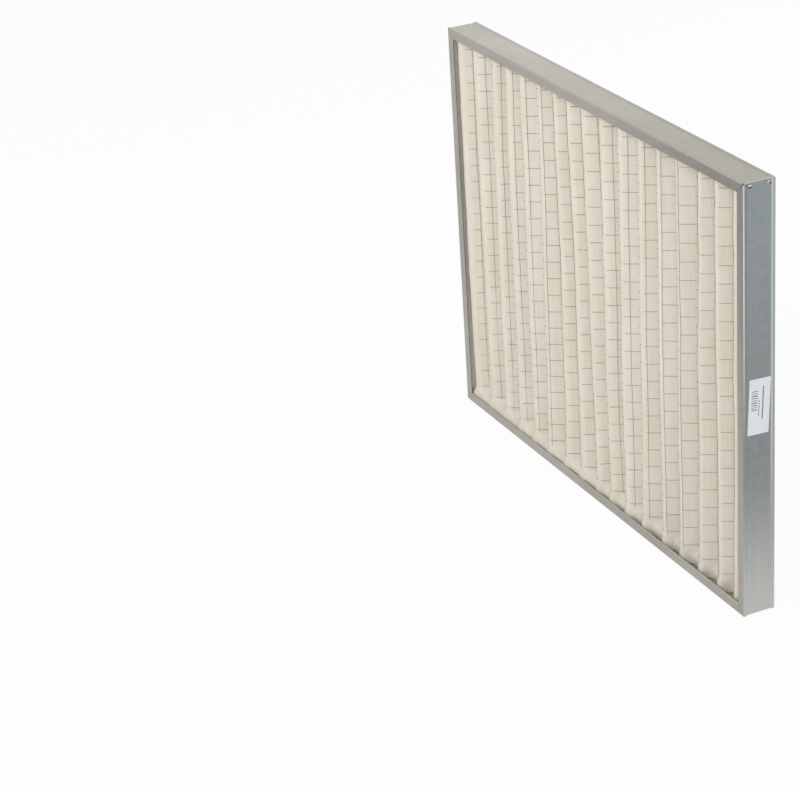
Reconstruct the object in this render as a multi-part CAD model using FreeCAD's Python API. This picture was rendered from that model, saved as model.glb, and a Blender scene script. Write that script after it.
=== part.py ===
import FreeCAD, Part
import math
import os

# Pleated panel air filter that stands on its long edge.
# A galvanised strip is folded into a channel frame around a pleated media pack.
# A welded wire mesh lies on the front of the media and follows every pleat.
# X runs across the pleats, Y from the front face to the back face, Z upwards.
# The origin is at the middle of the bottom edge. All sizes are in millimetres.

vector = FreeCAD.Vector

# Frame
frame_width = 782.0
frame_height = 594.0
frame_depth = 46.5

# Channel strip: sheet, edge bends, set-in web and hemmed lips
sheet = 0.8
bend_inner_radius = 0.7
lip_width = 14.5
hem_length = 6.5
hem_gap = 0.4
hem_bevel = 0.35
rim_flat = 1.4
web_ramp = 3.0
web_set_in = 1.0

# Corners: extra radius and number of flats of a folded corner, slit between two mitred lips
corner_extra = 0.5
corner_flats = 3
mitre_slit = 0.3

# Closing corner: tab behind the right web, held by two tongues through slots
closing_gap = 0.15
tab_length = 15.0
tab_side_margin = 0.8
tongue_width = 5.0
tongue_reach = 1.6
tongue_drop = 3.0
tongue_inner_radius = 0.2
tongue_side_margin = 0.5
slot_clearance = 0.3

# Pleated media
media_thickness = 4.0
fold_radius = 4.5
fold_creases = 4
first_crest_offset = 17.3
last_crest_offset = 31.4
# How the run from the first crest to the last is shared out between them
pleat_shares = [53, 50, 45, 45, 48, 48, 41, 42, 44, 44, 49, 48, 49, 45, 44, 42]
media_clearance = 0.3
crest_clearance = 2.1

# Wire mesh
wire = 0.9
wire_gap = 0.05
mesh_cell = 25.4
mesh_start = 11.0
cross_wire_margin = 18.0
long_wire_margin = 2.0

# Paper label on the right web
label_thickness = 0.2
label_length = 76.0
label_side_margin = 1.85
label_tilt = 2.6
label_centre_height = 295.5

# Worked out from the sizes above
edge_radius = sheet + bend_inner_radius
corner_radius = edge_radius + corner_extra
flat_start = edge_radius + rim_flat + web_ramp
web_inner = web_set_in + sheet
hem_stack = 2 * sheet + hem_gap
half_width = frame_width / 2
half_depth = frame_depth / 2
wire_stack = 2 * (wire + wire_gap)
crest_recess = hem_stack + wire_stack + crest_clearance
front_fold_y = crest_recess + media_thickness / 2 + fold_radius
back_fold_y = frame_depth - crest_recess - media_thickness / 2 - fold_radius
media_bottom = web_inner + media_clearance
media_top = frame_height - media_bottom
tab_outer = web_inner + closing_gap
tab_inner = tab_outer + sheet
media_left = -half_width + web_inner + media_clearance
media_right = half_width - tab_inner - media_clearance


def left_normal(direction):
    return vector(-direction.y, direction.x, 0)


def unit(start, end):
    return (end - start).normalize()


def line_if_long(edges, start, end):
    if (end - start).Length > 1e-6:
        edges.append(Part.makeLine(start, end))


def strip_side(points, runs, corner_radii, offset):
    # One surface line of a folded strip, at an offset to the left of its centreline.
    edges = []
    last = points[0] + left_normal(runs[0]) * offset
    for corner, before, after, radius in zip(points[1:-1], runs, runs[1:], corner_radii):
        turn = before.getAngle(after)
        left_turn = 1 if before.cross(after).z > 0 else -1
        bisector = (left_normal(before) + left_normal(after)).normalize()
        if radius == 0:
            bend_end = corner + bisector * (offset / math.cos(turn / 2))
            line_if_long(edges, last, bend_end)
        else:
            setback = radius * math.tan(turn / 2)
            bend_start = corner - before * setback + left_normal(before) * offset
            bend_end = corner + after * setback + left_normal(after) * offset
            centre = corner - before * setback + left_normal(before) * radius * left_turn
            middle = centre - bisector * (radius * left_turn - offset)
            line_if_long(edges, last, bend_start)
            edges.append(Part.Arc(bend_start, middle, bend_end).toShape())
        last = bend_end
    line_if_long(edges, last, points[-1] + left_normal(runs[-1]) * offset)
    return edges


def folded_strip(points, corner_radii, thickness):
    # Section of a folded strip from its centreline points and its radius at each corner.
    runs = [unit(start, end) for start, end in zip(points, points[1:])]
    left = strip_side(points, runs, corner_radii, thickness / 2)
    right = strip_side(points, runs, corner_radii, -thickness / 2)
    start_cap = Part.makeLine(
        points[0] + left_normal(runs[0]) * thickness / 2,
        points[0] - left_normal(runs[0]) * thickness / 2,
    )
    end_cap = Part.makeLine(
        points[-1] + left_normal(runs[-1]) * thickness / 2,
        points[-1] - left_normal(runs[-1]) * thickness / 2,
    )
    wires = Part.sortEdges(left + [end_cap] + right + [start_cap])
    return Part.Face(Part.Wire(wires[0]))


def channel_section():
    # Local x goes inwards from the outer face, local y from the front to the back.
    lip_line = sheet / 2
    hem_line = sheet * 1.5 + hem_gap
    web_bend = bend_inner_radius + sheet / 2
    lip_edge = lip_width - sheet / 2
    front = [
        vector(lip_width - hem_length, hem_line, 0),
        vector(lip_edge - hem_bevel, hem_line, 0),
        vector(lip_edge, hem_line - hem_bevel, 0),
        vector(lip_edge, lip_line + hem_bevel, 0),
        vector(lip_edge - hem_bevel, lip_line, 0),
        vector(sheet / 2, lip_line, 0),
        vector(sheet / 2, edge_radius + rim_flat, 0),
        vector(web_set_in + sheet / 2, flat_start, 0),
    ]
    back = [vector(point.x, frame_depth - point.y, 0) for point in reversed(front)]
    front_radii = [0, 0, 0, 0, web_bend, 0, 0]
    return folded_strip(front + back, front_radii + front_radii[::-1], sheet)


def web_band(section):
    # The web part of the channel section, without the edge bends and the lips.
    window = Part.makePlane(corner_radius, frame_depth - 2 * edge_radius, vector(0, edge_radius, 0))
    return section.common(window)


def side_placement(corner, inward, along):
    # Puts local x inwards, local y to the back and local z along the side.
    rotation = FreeCAD.Rotation(inward, vector(0, 1, 0), along, "ZXY")
    return FreeCAD.Placement(corner, rotation)


def mitre_cutter(length):
    # Two wedges that cut the lips of a side at 45 degrees, with half a slit each.
    reach = lip_width + mitre_slit
    half_slit = mitre_slit * math.sqrt(0.5)
    wedge = [
        vector(corner_radius - half_slit, 0, -reach),
        vector(corner_radius - half_slit, 0, 0),
        vector(corner_radius + reach, 0, reach + half_slit),
        vector(corner_radius + reach, 0, -reach),
    ]
    near = Part.Face(Part.makePolygon(wedge + wedge[:1])).extrude(vector(0, frame_depth, 0))
    far = near.mirror(vector(0, 0, length / 2), vector(0, 0, 1))
    return near.fuse(far)


def channel_side(section, length, placement):
    side = section.extrude(vector(0, 0, length)).cut(mitre_cutter(length))
    side.Placement = placement
    return side


def folded_corner(section, placement):
    # Only the web turns through 90 degrees: the strip is notched past it, front and back.
    stations = []
    for number in range(corner_flats + 1):
        station = web_band(section).Faces[0].OuterWire
        angle = -90 * number / corner_flats
        station.rotate(vector(corner_radius, 0, 0), vector(0, 1, 0), angle)
        stations.append(station)
    corner = Part.makeLoft(stations, True, True)
    corner.Placement = placement
    return corner


def across_side(points, corner_radii, thickness, width, near_y):
    # A strip drawn in the plane of the panel, as wide as given along Y.
    section = folded_strip(points, corner_radii, thickness)
    section.rotate(vector(0, 0, 0), vector(1, 0, 0), 90)
    section.translate(vector(0, near_y, 0))
    return section.extrude(vector(0, width, 0))


def closing_tab():
    # The end of the top web turns down behind the right web.
    bend = bend_inner_radius + sheet / 2
    tab_line = half_width - tab_outer - sheet / 2
    web_line = frame_height - web_set_in - sheet / 2
    points = [
        vector(half_width - corner_radius - 2 * sheet - bend, web_line, 0),
        vector(tab_line, web_line, 0),
        vector(tab_line, frame_height - tab_length, 0),
    ]
    side_margin = flat_start + tab_side_margin
    width = frame_depth - 2 * side_margin
    return across_side(points, [bend], sheet, width, side_margin - half_depth)


def tongue_starts():
    front = flat_start + tab_side_margin + tongue_side_margin
    return [front - half_depth, half_depth - front - tongue_width]


def tongue_level():
    return frame_height - web_inner - bend_inner_radius - tongue_reach + sheet


def locking_tongue(near_y):
    # A tongue of the tab that comes out through the slot and turns down over the web.
    tab_line = half_width - tab_outer - sheet / 2
    hook_line = half_width - web_set_in + closing_gap + sheet / 2
    level = tongue_level()
    bend = tongue_inner_radius + sheet / 2
    points = [
        vector(tab_line, level - 3 * sheet, 0),
        vector(tab_line, level, 0),
        vector(hook_line, level, 0),
        vector(hook_line, level - tongue_drop, 0),
    ]
    return across_side(points, [bend, bend], sheet, tongue_width, near_y)


def tongue_slot(near_y):
    slot_height = sheet + 2 * slot_clearance
    slot = Part.makeBox(2 * web_inner, tongue_width + 2 * slot_clearance, slot_height)
    corner = vector(
        half_width - 1.5 * web_inner,
        near_y - slot_clearance,
        tongue_level() - slot_height / 2,
    )
    slot.translate(corner)
    return slot


def frame_channel():
    section = channel_section()
    long_run = frame_width - 2 * corner_radius
    short_run = frame_height - 2 * corner_radius
    right, left, up, down = vector(1, 0, 0), vector(-1, 0, 0), vector(0, 0, 1), vector(0, 0, -1)
    edge_x = half_width - corner_radius
    top_z = frame_height - corner_radius
    bottom = side_placement(vector(edge_x, -half_depth, 0), up, left)
    left_side = side_placement(vector(-half_width, -half_depth, corner_radius), right, up)
    top = side_placement(vector(-edge_x, -half_depth, frame_height), down, right)
    right_side = side_placement(vector(half_width, -half_depth, top_z), left, down)

    pieces = [
        channel_side(section, short_run, left_side),
        channel_side(section, long_run, bottom),
        channel_side(section, short_run, right_side),
        folded_corner(section, bottom),
        folded_corner(section, left_side),
        folded_corner(section, top),
    ]
    # The free end of the right web runs straight up to the top face.
    web_end = web_band(section).extrude(vector(0, 0, -corner_radius))
    web_end.Placement = right_side
    pieces.append(web_end)
    # The top side stops short of it, and its tab goes down behind.
    stop = Part.makeBox(corner_radius, frame_depth, frame_height)
    stop.translate(vector(edge_x - closing_gap, -half_depth, 0))
    pieces.append(channel_side(section, long_run, top).cut(stop))
    pieces.append(closing_tab())
    frame = pieces[0].fuse(pieces[1:])
    frame = frame.cut([tongue_slot(near_y) for near_y in tongue_starts()])
    frame = frame.fuse([locking_tongue(near_y) for near_y in tongue_starts()])
    return frame.removeSplitter()


def crest_positions():
    # The pleats are set by hand, so their crests don't stand quite evenly.
    span = frame_width - first_crest_offset - last_crest_offset
    positions = [first_crest_offset - half_width]
    for share in pleat_shares:
        positions.append(positions[-1] + span * share / sum(pleat_shares))
    return positions


def valley_positions(crests):
    between = [(first + second) / 2 for first, second in zip(crests, crests[1:])]
    return [media_left] + between + [media_right]


def fold_centres():
    # Centres of the folds from left to right: valley, crest, valley and so on.
    crests = crest_positions()
    valleys = valley_positions(crests)
    centres = [vector(valleys[0], back_fold_y, 0)]
    for crest, valley in zip(crests, valleys[1:]):
        centres.append(vector(crest, front_fold_y, 0))
        centres.append(vector(valley, back_fold_y, 0))
    return centres


def flank_angle(first, second):
    # Angle of the flank that is tangent to two folds on opposite sides.
    between = second - first
    return math.atan2(abs(between.y), between.x) + math.asin(2 * fold_radius / between.Length)


def flank_normal(first, second):
    # Unit vector that points out of the front of the flank between two folds.
    angle = flank_angle(first, second)
    across = math.sin(angle) if second.y > first.y else -math.sin(angle)
    return vector(across, -math.cos(angle), 0)


def fold_corners(centre, arrive, leave, side):
    # A fold turns the media round its centre in a few equal creases.
    turn = arrive.getAngle(leave) / fold_creases
    reach = fold_radius / math.cos(turn / 2)
    first = FreeCAD.Rotation(vector(0, 0, 1), math.degrees(turn / 2 * side))
    step = FreeCAD.Rotation(vector(0, 0, 1), math.degrees(turn * side))
    spoke = first.multVec(arrive) * (reach * side)
    corners = []
    for number in range(fold_creases):
        corners.append(centre + spoke)
        spoke = step.multVec(spoke)
    return corners


def media_line():
    # Middle line of the media, fold by fold, from the left edge to the right edge.
    centres = fold_centres()
    normals = [flank_normal(first, second) for first, second in zip(centres, centres[1:])]
    forward = vector(0, -1, 0)
    points = [centres[0] - forward * fold_radius]
    points += fold_corners(centres[0], forward, normals[0], -1)
    for number in range(1, len(centres) - 1):
        side = 1 if number % 2 else -1
        points += fold_corners(centres[number], normals[number - 1], normals[number], side)
    points += fold_corners(centres[-1], normals[-1], forward, -1)
    points.append(centres[-1] - forward * fold_radius)
    return points


def pleated_media():
    line = media_line()
    section = folded_strip(line, [0] * (len(line) - 2), media_thickness)
    media = section.extrude(vector(0, 0, media_top - media_bottom))
    media.translate(vector(0, -half_depth, media_bottom))
    return media


def wire_line():
    # Middle line of a cross wire: flat over each crest and straight down to each valley.
    centres = fold_centres()
    media_face = media_thickness / 2
    points = []
    for number, centre in enumerate(centres):
        around = [flank_angle(*pair) for pair in zip(centres, centres[1:]) if centre in pair]
        if number % 2:
            half_crease = sum(around) / fold_creases / 2
            reach = (fold_radius + media_face) / math.cos(half_crease) + wire_gap + wire / 2
            points.append(centre + vector(-reach * math.tan(around[0] / 2), -reach, 0))
            points.append(centre + vector(reach * math.tan(around[1] / 2), -reach, 0))
        else:
            turn_reach = wire / 2 / math.cos(max(around))
            depth = fold_radius - media_face - wire_gap - turn_reach
            points.append(centre + vector(0, depth, 0))
    points[0] += vector(wire, 0, 0)
    points[-1] -= vector(wire, 0, 0)
    return points


def cross_wire_levels():
    count = int((frame_height - 2 * cross_wire_margin) / mesh_cell) + 1
    first = (frame_height - (count - 1) * mesh_cell) / 2
    return [first + number * mesh_cell for number in range(count)]


def cross_wire(level):
    line = wire_line()
    section = folded_strip(line, [0] * (len(line) - 2), wire)
    rod = section.extrude(vector(0, 0, wire))
    rod.translate(vector(0, -half_depth, level - wire / 2))
    return rod


def runs_between(points):
    return list(zip(points, points[1:]))


def run_length(runs):
    return sum((end - start).Length for start, end in runs)


def fold_wires(number):
    # Wires along one pleat, welded to the front of the cross wires and one cell apart along them.
    # One that would lie in the bottom of a valley stands a little up its flank.
    line = wire_line()
    before = run_length(runs_between(line[:3 * number + 1]))
    runs = runs_between(line[3 * number:3 * number + 4])
    length = run_length(runs)
    first = math.ceil((before - mesh_start) / mesh_cell)
    last = math.floor((before + length - mesh_start) / mesh_cell)
    keep_off = 3 * wire
    rods = []
    for cell in range(first, last + 1):
        place = mesh_start + cell * mesh_cell - before
        place = min(max(place, keep_off), length - keep_off)
        rods.append(fold_wire(runs, place))
    return Part.makeCompound(rods)


def fold_wire(runs, place):
    for start, end in runs:
        if place <= (end - start).Length:
            break
        place -= (end - start).Length
    along = unit(start, end)
    front = vector(along.y, -along.x, 0)
    middle = start + along * place + front * (wire + wire_gap)
    corners = [
        middle + along * (wire / 2 * side) + front * (wire / 2 * face)
        for side, face in ((-1, -1), (1, -1), (1, 1), (-1, 1))
    ]
    rod_length = media_top - media_bottom - 2 * long_wire_margin
    rod = Part.Face(Part.makePolygon(corners + corners[:1])).extrude(vector(0, 0, rod_length))
    rod.translate(vector(0, -half_depth, media_bottom + long_wire_margin))
    return rod


def side_label():
    # A plain paper label, a little askew on the set-in web.
    width = frame_depth - 2 * flat_start - 2 * label_side_margin
    label = Part.makeBox(label_thickness, width, label_length)
    label.translate(vector(half_width - web_set_in, -width / 2, label_centre_height - label_length / 2))
    label.rotate(vector(0, 0, label_centre_height), vector(1, 0, 0), -label_tilt)
    return label


def write_part(name, shape):
    shape.exportStep("parts/" + name + ".step")
    print(name, "solids", len(shape.Solids), "volume", round(shape.Volume / 1000, 2), "cm3")


os.makedirs("parts", exist_ok=True)
write_part("frame_channel", frame_channel())
write_part("pleated_media", pleated_media())
write_part("side_label", side_label())
for number, level in enumerate(cross_wire_levels(), 1):
    write_part("cross_wire_%02d" % number, cross_wire(level))
for number in range(len(crest_positions())):
    write_part("fold_wires_%02d" % (number + 1), fold_wires(number))
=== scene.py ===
import math
import random

import bpy
import numpy as np
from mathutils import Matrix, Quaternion, Vector


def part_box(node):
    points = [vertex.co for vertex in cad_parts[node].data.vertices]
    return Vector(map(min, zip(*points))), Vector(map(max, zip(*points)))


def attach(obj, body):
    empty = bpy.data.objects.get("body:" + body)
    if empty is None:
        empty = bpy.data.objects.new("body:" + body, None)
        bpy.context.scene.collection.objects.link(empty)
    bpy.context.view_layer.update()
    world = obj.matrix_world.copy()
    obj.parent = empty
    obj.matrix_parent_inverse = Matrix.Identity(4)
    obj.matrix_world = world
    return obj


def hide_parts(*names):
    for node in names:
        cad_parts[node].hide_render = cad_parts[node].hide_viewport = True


# Pleated panel air filter: the finish of the steel strip, the soft fibre pleats,
# the round wire mesh over them and the paper label. Lengths are in metres, except
# where a note says millimetres.

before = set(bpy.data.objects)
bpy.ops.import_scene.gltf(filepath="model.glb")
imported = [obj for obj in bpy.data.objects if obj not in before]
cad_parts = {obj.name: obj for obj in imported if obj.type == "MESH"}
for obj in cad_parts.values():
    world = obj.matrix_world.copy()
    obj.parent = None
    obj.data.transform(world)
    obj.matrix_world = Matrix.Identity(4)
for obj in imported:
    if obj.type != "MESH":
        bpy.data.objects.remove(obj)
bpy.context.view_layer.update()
panelLow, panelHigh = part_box("frame_channel")
mediaLow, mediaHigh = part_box("pleated_media")
labelLow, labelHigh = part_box("side_label")
panelHeight = panelHigh.z - panelLow.z
halfHeight = panelHeight / 2
millimetre = 0.001
print("Frame loaded with", len(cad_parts), "parts")


# Short ways to set up nodes

def feed(tree, socket, value):
    # Links a socket, or sets a number, vector or colour on it
    if isinstance(value, bpy.types.NodeSocket):
        tree.links.new(value, socket)
    elif value is not None:
        isColor = socket.type == "RGBA" and len(value) == 3
        socket.default_value = (*value, 1) if isColor else value


def mathNode(tree, operation, *values):
    node = tree.nodes.new("ShaderNodeMath")
    node.operation = operation
    for socket, value in zip(node.inputs, values):
        feed(tree, socket, value)
    return node.outputs[0]


def joined(tree, operation, values):
    total = values[0]
    for value in values[1:]:
        total = mathNode(tree, operation, total, value)
    return total


def scaleVector(tree, vector, scales):
    node = tree.nodes.new("ShaderNodeVectorMath")
    node.operation = "MULTIPLY"
    feed(tree, node.inputs[0], vector)
    feed(tree, node.inputs[1], scales)
    return node.outputs[0]


def noiseNode(tree, vector, scale, detail, roughness=0.55, distortion=0.0):
    node = tree.nodes.new("ShaderNodeTexNoise")
    values = {
        "Vector": vector,
        "Scale": scale,
        "Detail": detail,
        "Roughness": roughness,
        "Distortion": distortion,
    }
    for name, value in values.items():
        feed(tree, node.inputs[name], value)
    return node.outputs["Fac"]


def spread(tree, value, low, high):
    # Stretches low to high over 0 to 1, softly at both ends
    node = tree.nodes.new("ShaderNodeMapRange")
    node.interpolation_type = "SMOOTHSTEP"
    for name, given in (("Value", value), ("From Min", low), ("From Max", high)):
        feed(tree, node.inputs[name], given)
    return node.outputs["Result"]


def between(tree, value, low, high, soft):
    # 1 from low to high and 0 outside, with soft edges
    rise = spread(tree, value, low - soft, low + soft)
    fall = spread(tree, value, high + soft, high - soft)
    return mathNode(tree, "MULTIPLY", rise, fall)


def mixColor(tree, share, first, second):
    node = tree.nodes.new("ShaderNodeMix")
    node.data_type = "RGBA"
    sockets = {socket.identifier: socket for socket in node.inputs}
    for name, value in (("Factor_Float", share), ("A_Color", first), ("B_Color", second)):
        feed(tree, sockets[name], value)
    return {socket.identifier: socket for socket in node.outputs}["Result_Color"]


def tintBy(tree, color, mask, share, tone):
    # Mixes a tone into a colour by a mask, up to the given share
    return mixColor(tree, mathNode(tree, "MULTIPLY", mask, share), color, tone)


def bumpNode(tree, height, strength, distance, normal=None):
    node = tree.nodes.new("ShaderNodeBump")
    values = {"Height": height, "Strength": strength, "Distance": distance, "Normal": normal}
    for name, value in values.items():
        feed(tree, node.inputs[name], value)
    return node.outputs["Normal"]


def splitPlace(tree, where):
    split = tree.nodes.new("ShaderNodeSeparateXYZ")
    tree.links.new(where, split.inputs[0])
    return split.outputs


# Camera and studio

cameraView = {
    "lens": 112.17,
    "place": (2.7473, -1.5365, 1.6516),
    "azimuth": 65.97,
    "elevation": 25.20,
    "roll": -3.86,
}


def makeCamera():
    azimuth = math.radians(cameraView["azimuth"])
    elevation = math.radians(cameraView["elevation"])
    level = math.cos(elevation)
    look = Vector((-math.sin(azimuth) * level, math.cos(azimuth) * level, -math.sin(elevation)))
    camera = bpy.data.objects.new("camera", bpy.data.cameras.new("camera"))
    camera.data.lens = cameraView["lens"]
    camera.location = cameraView["place"]
    camera.rotation_mode = "QUATERNION"
    roll = Quaternion((0, 0, 1), math.radians(cameraView["roll"]))
    camera.rotation_quaternion = look.to_track_quat("-Z", "Y") @ roll
    bpy.context.scene.collection.objects.link(camera)
    bpy.context.scene.camera = camera


studio = {
    "worldColor": (0.96, 0.98, 1.0),
    "worldStrength": 0.52,
    "floorColor": (0.93, 0.93, 0.92),
    "floorSize": 30.0,
    "whiteShare": 0.93,
    # Square lamps: place, size, watts and colour
    "lamps": {
        "keyLamp": ((-1.1, -2.4, 1.6), 1.4, 20, (1.0, 0.985, 0.96)),
        "fillLamp": ((2.3, -1.9, 1.7), 1.8, 39, (1.0, 0.985, 0.95)),
        "topLamp": ((-1.9, 0.9, 1.4), 1.3, 1.6, (1.0, 0.96, 0.89)),
        "backLamp": ((-0.6, 2.7, 0.4), 1.6, 32, (1.0, 0.985, 0.96)),
    },
    "lampAim": (0.1, 0.0, 0.28),
}


def seesBackground(tree):
    # 1 for what the eye, a reflection or clear material sees, 0 for light that falls on the object
    path = tree.nodes.new("ShaderNodeLightPath")
    rays = ("Is Camera Ray", "Is Glossy Ray", "Is Transmission Ray")
    return joined(tree, "MAXIMUM", [path.outputs[name] for name in rays])


def showMixed(tree, outKind, share, lit, seen):
    mix = tree.nodes.new("ShaderNodeMixShader")
    out = tree.nodes.new(outKind)
    for socket, value in zip(mix.inputs, (share, lit, seen)):
        tree.links.new(value, socket)
    tree.links.new(mix.outputs["Shader"], out.inputs["Surface"])


def makeWorld():
    world = bpy.data.worlds.new("studioWorld")
    bpy.context.scene.world = world
    world.use_nodes = True
    tree = world.node_tree
    tree.nodes.clear()
    ambient = tree.nodes.new("ShaderNodeBackground")
    feed(tree, ambient.inputs["Color"], studio["worldColor"])
    feed(tree, ambient.inputs["Strength"], studio["worldStrength"])
    white = tree.nodes.new("ShaderNodeBackground")
    feed(tree, white.inputs["Color"], (1, 1, 1))
    lit, seen = ambient.outputs["Background"], white.outputs["Background"]
    showMixed(tree, "ShaderNodeOutputWorld", seesBackground(tree), lit, seen)


def makeFloor():
    half = studio["floorSize"] / 2
    mesh = bpy.data.meshes.new("floor")
    corners = [(-half, -half, 0), (half, -half, 0), (half, half, 0), (-half, half, 0)]
    mesh.from_pydata(corners, [], [(0, 1, 2, 3)])
    floor = bpy.data.objects.new("floor", mesh)
    bpy.context.scene.collection.objects.link(floor)
    material = bpy.data.materials.new("paleFloor")
    material.use_nodes = True
    tree = material.node_tree
    tree.nodes.clear()
    matt = tree.nodes.new("ShaderNodeBsdfDiffuse")
    feed(tree, matt.inputs["Color"], studio["floorColor"])
    white = tree.nodes.new("ShaderNodeEmission")
    share = mathNode(tree, "MULTIPLY", seesBackground(tree), studio["whiteShare"])
    lit, seen = matt.outputs["BSDF"], white.outputs["Emission"]
    showMixed(tree, "ShaderNodeOutputMaterial", share, lit, seen)
    mesh.materials.append(material)


def makeLamps():
    aim = Vector(studio["lampAim"])
    for name, (place, size, watts, color) in studio["lamps"].items():
        lamp = bpy.data.lights.new(name, "AREA")
        lamp.shape = "SQUARE"
        lamp.size = size
        lamp.energy = watts
        lamp.color = color
        holder = bpy.data.objects.new(name, lamp)
        holder.location = place
        holder.rotation_mode = "QUATERNION"
        holder.rotation_quaternion = (aim - holder.location).to_track_quat("-Z", "Y")
        holder.visible_camera = False
        bpy.context.scene.collection.objects.link(holder)


bpy.context.scene.view_settings.view_transform = "Standard"
makeCamera()
makeWorld()
makeFloor()
makeLamps()
print("Camera, floor and lamps are set")


# Node groups that the materials share

sharedMarks = {
    "patchDetail": 3,
    "speckDetail": 4,
    "strandDetail": 5,
    "strandRoughness": 0.6,
    "strandDistortion": 0.6,
    # Noise between these two values fills a mask, which full sharpness narrows by this much
    "maskEdges": (0.34, 0.66),
    "sharpenBy": 0.14,
}


def startGroup(name, inputs, outputs):
    group = bpy.data.node_groups.new(name, "ShaderNodeTree")
    for title, kind, value in inputs:
        socket = group.interface.new_socket(name=title, in_out="INPUT", socket_type=kind)
        if value is not None:
            socket.default_value = value
    for title, kind in outputs:
        group.interface.new_socket(name=title, in_out="OUTPUT", socket_type=kind)
    return group, group.nodes.new("NodeGroupInput"), group.nodes.new("NodeGroupOutput")


def makeToneDrift():
    # Slow and fine patches of two tones, as on anything that isn't painted
    group, given, out = startGroup(
        "toneDrift",
        [
            ("Vector", "NodeSocketVector", None),
            ("Patch Scale", "NodeSocketFloat", 20.0),
            ("Speck Scale", "NodeSocketFloat", 300.0),
            ("Speck Share", "NodeSocketFloat", 0.4),
            ("Tone A", "NodeSocketColor", None),
            ("Tone B", "NodeSocketColor", None),
        ],
        [("Color", "NodeSocketColor"), ("Mask", "NodeSocketFloat")],
    )
    where, share = given.outputs["Vector"], given.outputs["Speck Share"]
    slow = noiseNode(group, where, given.outputs["Patch Scale"], sharedMarks["patchDetail"])
    fine = noiseNode(group, where, given.outputs["Speck Scale"], sharedMarks["speckDetail"])
    slow = mathNode(group, "MULTIPLY", slow, mathNode(group, "SUBTRACT", 1.0, share))
    total = mathNode(group, "MULTIPLY_ADD", fine, share, slow)
    mask = spread(group, total, *sharedMarks["maskEdges"])
    color = mixColor(group, mask, given.outputs["Tone A"], given.outputs["Tone B"])
    group.links.new(color, out.inputs["Color"])
    group.links.new(mask, out.inputs["Mask"])
    return group


def makeStrands():
    # Long thin marks: rolling lines on sheet, drawing lines on wire, fibres in a mat or in paper
    group, given, out = startGroup(
        "strands",
        [
            ("Vector", "NodeSocketVector", None),
            ("Stretch", "NodeSocketVector", (1.0, 1.0, 0.1)),
            ("Scale", "NodeSocketFloat", 400.0),
            ("Sharpness", "NodeSocketFloat", 0.5),
        ],
        [("Height", "NodeSocketFloat"), ("Mask", "NodeSocketFloat")],
    )
    stretched = scaleVector(group, given.outputs["Vector"], given.outputs["Stretch"])
    coarse = noiseNode(
        group, stretched, given.outputs["Scale"], sharedMarks["strandDetail"],
        sharedMarks["strandRoughness"], sharedMarks["strandDistortion"],
    )
    low, high = sharedMarks["maskEdges"]
    narrow = mathNode(group, "MULTIPLY", given.outputs["Sharpness"], sharedMarks["sharpenBy"])
    low = mathNode(group, "ADD", narrow, low)
    high = mathNode(group, "SUBTRACT", high, narrow)
    group.links.new(coarse, out.inputs["Height"])
    group.links.new(spread(group, coarse, low, high), out.inputs["Mask"])
    return group


toneDrift = makeToneDrift()
strands = makeStrands()


def placeGroup(tree, group, vector, values):
    node = tree.nodes.new("ShaderNodeGroup")
    node.node_tree = group
    for name, value in {"Vector": vector, **values}.items():
        feed(tree, node.inputs[name], value)
    return node.outputs


def startMaterial(name):
    material = bpy.data.materials.new(name)
    material.use_nodes = True
    tree = material.node_tree
    where = tree.nodes.new("ShaderNodeTexCoord").outputs["Object"]
    return material, tree, tree.nodes["Principled BSDF"].inputs, where


def finishSurface(tree, surface, color, mask, roughness, normal):
    # The mask of the tones roughens the surface from the first value by the second
    low, rise = roughness
    feed(tree, surface["Base Color"], color)
    feed(tree, surface["Roughness"], mathNode(tree, "MULTIPLY_ADD", mask, rise, low))
    feed(tree, surface["Normal"], normal)


print("Shared node groups are made")


# Galvanised strip

beyond = 9.0  # outside the panel: an area has no edge there
rightWeb = (0.3897, beyond, 0.0001)
frontLip = (-beyond, -0.0226, 0.0004)

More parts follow.
